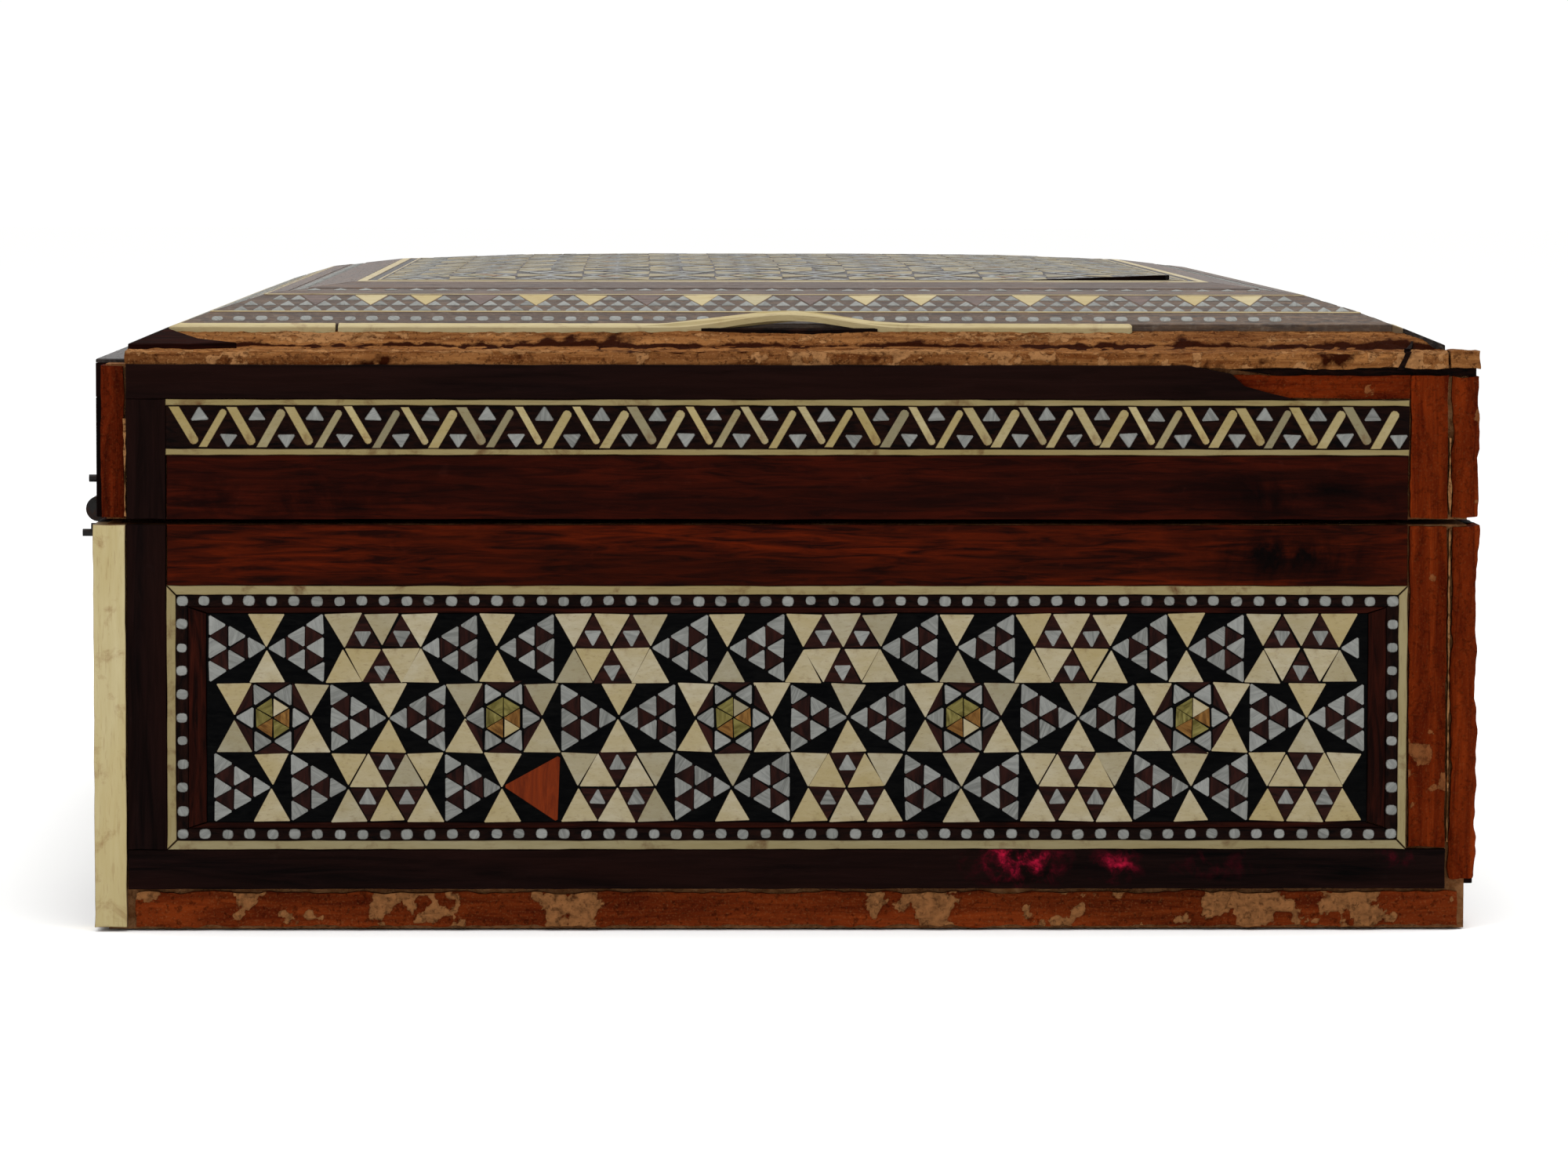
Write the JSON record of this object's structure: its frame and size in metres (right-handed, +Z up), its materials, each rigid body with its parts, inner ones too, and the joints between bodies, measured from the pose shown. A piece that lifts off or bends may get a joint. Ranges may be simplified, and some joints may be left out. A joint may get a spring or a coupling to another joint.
{
  "type": "inlaid wooden box",
  "caption": "Rectangular wooden keepsake box with a cushion-shaped hinged lid, faced with rosewood, ebony, bone and metal marquetry.",
  "frame": {"origin": "centre of the wooden body's resting face, on the floor", "axes": "+Z up, +X along the long side, -Y to the front; the hinges are on the +Y side"},
  "size_m": [0.208, 0.1637, 0.0757],
  "materials": {
    "core_wood": "bare softwood, stained by old glue",
    "rosewood": "red-brown, streaked, satin",
    "ebony": "near black, satin",
    "bone": "aged bone, cream to yellow, satin",
    "mosaic": "triangles of bone, metal, ebony and dyed wood",
    "dotted_inlay": "pewter-grey metal dots in ebony",
    "velvet": "short pile velvet",
    "hinge_iron": "blackened, lightly rusted"
  },
  "bodies": {
    "base": {"bottom_board": "core_wood", "plinth_strips": "rosewood", "base_wall_front": "core_wood", "base_wall_right": "core_wood", "base_wall_back": "core_wood", "base_wall_left": "core_wood", "base_lower_rails": "ebony", "base_upper_rails": "rosewood", "base_stiles": "ebony", "base_corner_strips": "bone", "mosaic_panel_front": "mosaic", "mosaic_panel_right": "mosaic", "mosaic_panel_back": "mosaic", "mosaic_panel_left": "mosaic", "plain_borders": "rosewood", "dot_border_front": "dotted_inlay", "dot_border_right": "dotted_inlay", "dot_border_back": "dotted_inlay", "dot_border_left": "dotted_inlay", "bone_frame_front": "bone", "bone_frame_right": "bone", "bone_frame_back": "bone", "bone_frame_left": "bone", "base_floor_lining": "velvet", "base_side_linings": "velvet", "left_hinge_base_leaf": "hinge_iron", "right_hinge_base_leaf": "hinge_iron", "left_hinge_pin": "hinge_iron", "right_hinge_pin": "hinge_iron", "lower_brads": "hinge_iron"},
    "lid": {"lid_top_board": "core_wood", "lid_wall_front": "core_wood", "lid_wall_right": "core_wood", "lid_wall_back": "core_wood", "lid_wall_left": "core_wood", "lid_lower_rails": "rosewood", "lid_upper_rails": "ebony", "lid_stiles": "ebony", "lid_corner_strips": "bone", "zigzag_band_front": "ebony", "zigzag_band_right": "ebony", "zigzag_band_back": "ebony", "zigzag_band_left": "ebony", "zigzag_bone_lines": "bone", "lid_dark_border": "ebony", "lid_bone_stringing": "bone", "lid_dotted_row": "dotted_inlay", "lid_triangle_band": "mosaic", "lid_narrow_rows": "rosewood", "lid_panel_line": "bone", "lid_centre_panel": "mosaic", "lid_ceiling_lining": "velvet", "lid_side_linings": "velvet", "left_hinge_lid_leaf": "hinge_iron", "right_hinge_lid_leaf": "hinge_iron", "upper_brads": "hinge_iron"}
  },
  "joints": [
    {"name": "lid_hinge", "type": "hinge", "parent": "base", "child": "lid", "pos_m": [0, 0.08155, 0.04718], "axis": [-1, 0, 0], "range_deg": [0, 105]}
  ]
}
